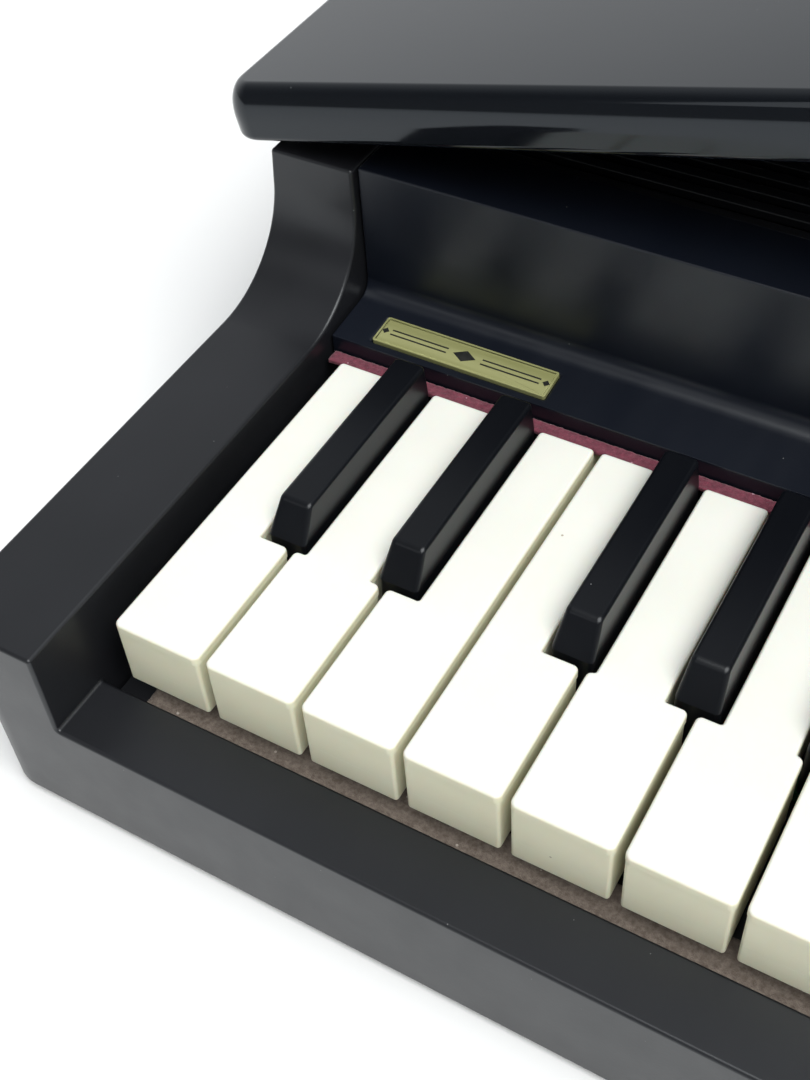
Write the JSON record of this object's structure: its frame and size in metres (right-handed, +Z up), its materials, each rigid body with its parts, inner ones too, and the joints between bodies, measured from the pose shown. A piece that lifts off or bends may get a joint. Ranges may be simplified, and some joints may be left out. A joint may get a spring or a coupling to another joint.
{
  "type": "miniature grand piano",
  "caption": "Table-top electronic miniature grand piano with narrow playable keys, coved fallboard, hinged harp-shaped lid on a stay, speaker grille and control panel under the lid.",
  "frame": {"origin": "on the table surface under the middle of the case, at the middle of its width and of the depth over the lid", "axes": "+Z up, +Y from the player towards the tail, +X towards the treble end"},
  "size_m": [0.5675, 0.4092, 0.1985],
  "materials": {
    "satin_black": "satin moulded black",
    "gloss_black": "polished black",
    "ivory_key": "satin warm white",
    "black_key": "satin black",
    "red_felt": "crimson felt",
    "brown_felt": "grey-brown felt",
    "gold_plate": "pale greenish gold",
    "steel": "satin plated",
    "control_black": "satin black",
    "led_lens": "clear green",
    "speaker_paper": "matt black paper cone",
    "circuit_board": "green solder mask",
    "contact_rubber": "matt grey",
    "foot_rubber": "matt black",
    "cell_sleeve": "printed sleeve without marks"
  },
  "bodies": {
    "case": {"base_plate": "satin_black", "battery_pack": "cell_sleeve", "case_shell": "satin_black", "contact_board": "circuit_board", "contact_rubber_strip": "contact_rubber", "control_panel": "satin_black", "fallboard": "satin_black", "foot_front_left": "foot_rubber", "foot_front_right": "foot_rubber", "foot_rear_left": "foot_rubber", "foot_rear_right": "foot_rubber", "front_rail_felt": "brown_felt", "headphone_jack": "control_black", "hinge_leaf_case": "steel", "key_bed": "satin_black", "key_retainer": "steel", "main_board": "circuit_board", "name_plate": "gold_plate", "nameboard_felt": "red_felt", "power_jack": "control_black", "power_light": "led_lens", "speaker_grille": "satin_black", "speaker_left": "speaker_paper", "speaker_right": "speaker_paper", "stay_bracket": "steel", "top_deck": "satin_black"},
    "lid": {"lid": "gloss_black", "hinge_leaf_lid": "steel", "stay_track": "steel"},
    "lid_stay": {"lid_stay": "steel"},
    "battery_cover": {"battery_cover": "satin_black"},
    "volume_knob": {"volume_knob": "control_black"},
    "power_button": {"power_button": "control_black"},
    "tone_button": {"tone_button": "control_black"},
    "song_button": {"song_button": "control_black"},
    "play_button": {"play_button": "control_black"},
    "key_a1": {"key_a1": "ivory_key"},
    "key_a_sharp1": {"key_a_sharp1": "black_key"},
    "key_b1": {"key_b1": "ivory_key"},
    "key_c1": {"key_c1": "ivory_key"},
    "key_c_sharp1": {"key_c_sharp1": "black_key"},
    "key_d1": {"key_d1": "ivory_key"},
    "key_d_sharp1": {"key_d_sharp1": "black_key"},
    "key_e1": {"key_e1": "ivory_key"},
    "key_f1": {"key_f1": "ivory_key"},
    "key_f_sharp1": {"key_f_sharp1": "black_key"},
    "key_g1": {"key_g1": "ivory_key"},
    "key_g_sharp1": {"key_g_sharp1": "black_key"},
    "keys_black_octave_2": {"keys_black_octave_2": "black_key"},
    "keys_black_octave_3": {"keys_black_octave_3": "black_key"},
    "keys_black_octave_4": {"keys_black_octave_4": "black_key"},
    "keys_black_octave_5": {"keys_black_octave_5": "black_key"},
    "keys_inner_octave_2": {"keys_inner_octave_2": "ivory_key"},
    "keys_inner_octave_3": {"keys_inner_octave_3": "ivory_key"},
    "keys_inner_octave_4": {"keys_inner_octave_4": "ivory_key"},
    "keys_inner_octave_5": {"keys_inner_octave_5": "ivory_key"},
    "keys_outer_octave_2": {"keys_outer_octave_2": "ivory_key"},
    "keys_outer_octave_3": {"keys_outer_octave_3": "ivory_key"},
    "keys_outer_octave_4": {"keys_outer_octave_4": "ivory_key"},
    "keys_outer_octave_5": {"keys_outer_octave_5": "ivory_key"}
  },
  "joints": [
    {"name": "lid_hinge", "type": "hinge", "parent": "case", "child": "lid", "pos_m": [-0.2821, 0, 0.0588], "axis": [0, -1, 0], "range_deg": [-13.3, 0]},
    {"name": "lid_stay_pivot", "type": "hinge", "parent": "case", "child": "lid_stay", "pos_m": [0.04, -0.032, 0.0495], "axis": [1, 0, 0], "range_deg": [-35, 0]},
    {"name": "battery_cover_slide", "type": "slide", "parent": "case", "child": "battery_cover", "axis": [0, 1, 0], "range_m": [0, 0.0097]},
    {"name": "volume_knob_turn", "type": "hinge", "parent": "case", "child": "volume_knob", "pos_m": [0.206, -0.06665, 0.0594], "axis": [0, 0, -1], "range_deg": [-150, 150]},
    {"name": "power_button_press", "type": "slide", "parent": "case", "child": "power_button", "axis": [0, 0, -1], "range_m": [0, 0.001], "stiffness_N_per_m": 900, "springref_m": -0.0006},
    {"name": "tone_button_press", "type": "slide", "parent": "case", "child": "tone_button", "axis": [0, 0, -1], "range_m": [0, 0.001], "stiffness_N_per_m": 900, "springref_m": -0.0006},
    {"name": "song_button_press", "type": "slide", "parent": "case", "child": "song_button", "axis": [0, 0, -1], "range_m": [0, 0.001], "stiffness_N_per_m": 900, "springref_m": -0.0006},
    {"name": "play_button_press", "type": "slide", "parent": "case", "child": "play_button", "axis": [0, 0, -1], "range_m": [0, 0.001], "stiffness_N_per_m": 900, "springref_m": -0.0006},
    {"name": "key_a1_press", "type": "hinge", "parent": "case", "child": "key_a1", "pos_m": [-0.18125, -0.0954, 0.0285], "axis": [1, 0, 0], "range_deg": [0, 2.3], "stiffness_Nm_per_rad": 0.3, "springref_deg": -5.73},
    {"name": "key_a_sharp1_press", "type": "hinge", "parent": "case", "child": "key_a_sharp1", "pos_m": [-0.17183, -0.0954, 0.0285], "axis": [1, 0, 0], "range_deg": [0, 2.3], "stiffness_Nm_per_rad": 0.3, "springref_deg": -5.73},
    {"name": "key_b1_press", "type": "hinge", "parent": "case", "child": "key_b1", "pos_m": [-0.16675, -0.0954, 0.0285], "axis": [1, 0, 0], "range_deg": [0, 2.3], "stiffness_Nm_per_rad": 0.3, "springref_deg": -5.73},
    {"name": "key_c1_press", "type": "hinge", "parent": "case", "child": "key_c1", "pos_m": [-0.25375, -0.0954, 0.0285], "axis": [1, 0, 0], "range_deg": [0, 2.3], "stiffness_Nm_per_rad": 0.3, "springref_deg": -5.73},
    {"name": "key_c_sharp1_press", "type": "hinge", "parent": "case", "child": "key_c_sharp1", "pos_m": [-0.24795, -0.0954, 0.0285], "axis": [1, 0, 0], "range_deg": [0, 2.3], "stiffness_Nm_per_rad": 0.3, "springref_deg": -5.73},
    {"name": "key_d1_press", "type": "hinge", "parent": "case", "child": "key_d1", "pos_m": [-0.23925, -0.0954, 0.0285], "axis": [1, 0, 0], "range_deg": [0, 2.3], "stiffness_Nm_per_rad": 0.3, "springref_deg": -5.73},
    {"name": "key_d_sharp1_press", "type": "hinge", "parent": "case", "child": "key_d_sharp1", "pos_m": [-0.2304, -0.0954, 0.0285], "axis": [1, 0, 0], "range_deg": [0, 2.3], "stiffness_Nm_per_rad": 0.3, "springref_deg": -5.73},
    {"name": "key_e1_press", "type": "hinge", "parent": "case", "child": "key_e1", "pos_m": [-0.22475, -0.0954, 0.0285], "axis": [1, 0, 0], "range_deg": [0, 2.3], "stiffness_Nm_per_rad": 0.3, "springref_deg": -5.73},
    {"name": "key_f1_press", "type": "hinge", "parent": "case", "child": "key_f1", "pos_m": [-0.21025, -0.0954, 0.0285], "axis": [1, 0, 0], "range_deg": [0, 2.3], "stiffness_Nm_per_rad": 0.3, "springref_deg": -5.73},
    {"name": "key_f_sharp1_press", "type": "hinge", "parent": "case", "child": "key_f_sharp1", "pos_m": [-0.20517, -0.0954, 0.0285], "axis": [1, 0, 0], "range_deg": [0, 2.3], "stiffness_Nm_per_rad": 0.3, "springref_deg": -5.73},
    {"name": "key_g1_press", "type": "hinge", "parent": "case", "child": "key_g1", "pos_m": [-0.19575, -0.0954, 0.0285], "axis": [1, 0, 0], "range_deg": [0, 2.3], "stiffness_Nm_per_rad": 0.3, "springref_deg": -5.73},
    {"name": "key_g_sharp1_press", "type": "hinge", "parent": "case", "child": "key_g_sharp1", "pos_m": [-0.1885, -0.0954, 0.0285], "axis": [1, 0, 0], "range_deg": [0, 2.3], "stiffness_Nm_per_rad": 0.3, "springref_deg": -5.73},
    {"name": "keys_black_octave_2_press", "type": "hinge", "parent": "case", "child": "keys_black_octave_2", "pos_m": [-0.10875, -0.0954, 0.0285], "axis": [1, 0, 0], "range_deg": [0, 2.3], "stiffness_Nm_per_rad": 1.5, "springref_deg": -5.73},
    {"name": "keys_black_octave_3_press", "type": "hinge", "parent": "case", "child": "keys_black_octave_3", "pos_m": [-0.00725, -0.0954, 0.0285], "axis": [1, 0, 0], "range_deg": [0, 2.3], "stiffness_Nm_per_rad": 1.5, "springref_deg": -5.73},
    {"name": "keys_black_octave_4_press", "type": "hinge", "parent": "case", "child": "keys_black_octave_4", "pos_m": [0.09425, -0.0954, 0.0285], "axis": [1, 0, 0], "range_deg": [0, 2.3], "stiffness_Nm_per_rad": 1.5, "springref_deg": -5.73},
    {"name": "keys_black_octave_5_press", "type": "hinge", "parent": "case", "child": "keys_black_octave_5", "pos_m": [0.19575, -0.0954, 0.0285], "axis": [1, 0, 0], "range_deg": [0, 2.3], "stiffness_Nm_per_rad": 1.5, "springref_deg": -5.73},
    {"name": "keys_inner_octave_2_press", "type": "hinge", "parent": "case", "child": "keys_inner_octave_2", "pos_m": [-0.10875, -0.0954, 0.0285], "axis": [1, 0, 0], "range_deg": [0, 2.3], "stiffness_Nm_per_rad": 0.9, "springref_deg": -5.73},
    {"name": "keys_inner_octave_3_press", "type": "hinge", "parent": "case", "child": "keys_inner_octave_3", "pos_m": [-0.00725, -0.0954, 0.0285], "axis": [1, 0, 0], "range_deg": [0, 2.3], "stiffness_Nm_per_rad": 0.9, "springref_deg": -5.73},
    {"name": "keys_inner_octave_4_press", "type": "hinge", "parent": "case", "child": "keys_inner_octave_4", "pos_m": [0.09425, -0.0954, 0.0285], "axis": [1, 0, 0], "range_deg": [0, 2.3], "stiffness_Nm_per_rad": 0.9, "springref_deg": -5.73},
    {"name": "keys_inner_octave_5_press", "type": "hinge", "parent": "case", "child": "keys_inner_octave_5", "pos_m": [0.19575, -0.0954, 0.0285], "axis": [1, 0, 0], "range_deg": [0, 2.3], "stiffness_Nm_per_rad": 0.9, "springref_deg": -5.73},
    {"name": "keys_outer_octave_2_press", "type": "hinge", "parent": "case", "child": "keys_outer_octave_2", "pos_m": [-0.10875, -0.0954, 0.0285], "axis": [1, 0, 0], "range_deg": [0, 2.3], "stiffness_Nm_per_rad": 1.2, "springref_deg": -5.73},
    {"name": "keys_outer_octave_3_press", "type": "hinge", "parent": "case", "child": "keys_outer_octave_3", "pos_m": [-0.00725, -0.0954, 0.0285], "axis": [1, 0, 0], "range_deg": [0, 2.3], "stiffness_Nm_per_rad": 1.2, "springref_deg": -5.73},
    {"name": "keys_outer_octave_4_press", "type": "hinge", "parent": "case", "child": "keys_outer_octave_4", "pos_m": [0.09425, -0.0954, 0.0285], "axis": [1, 0, 0], "range_deg": [0, 2.3], "stiffness_Nm_per_rad": 1.2, "springref_deg": -5.73},
    {"name": "keys_outer_octave_5_press", "type": "hinge", "parent": "case", "child": "keys_outer_octave_5", "pos_m": [0.19575, -0.0954, 0.0285], "axis": [1, 0, 0], "range_deg": [0, 2.3], "stiffness_Nm_per_rad": 1.5, "springref_deg": -5.73}
  ],
  "couplings": [
    {"joint": "lid_stay_pivot", "follows": "lid_hinge", "ratio": 2.6316}
  ]
}
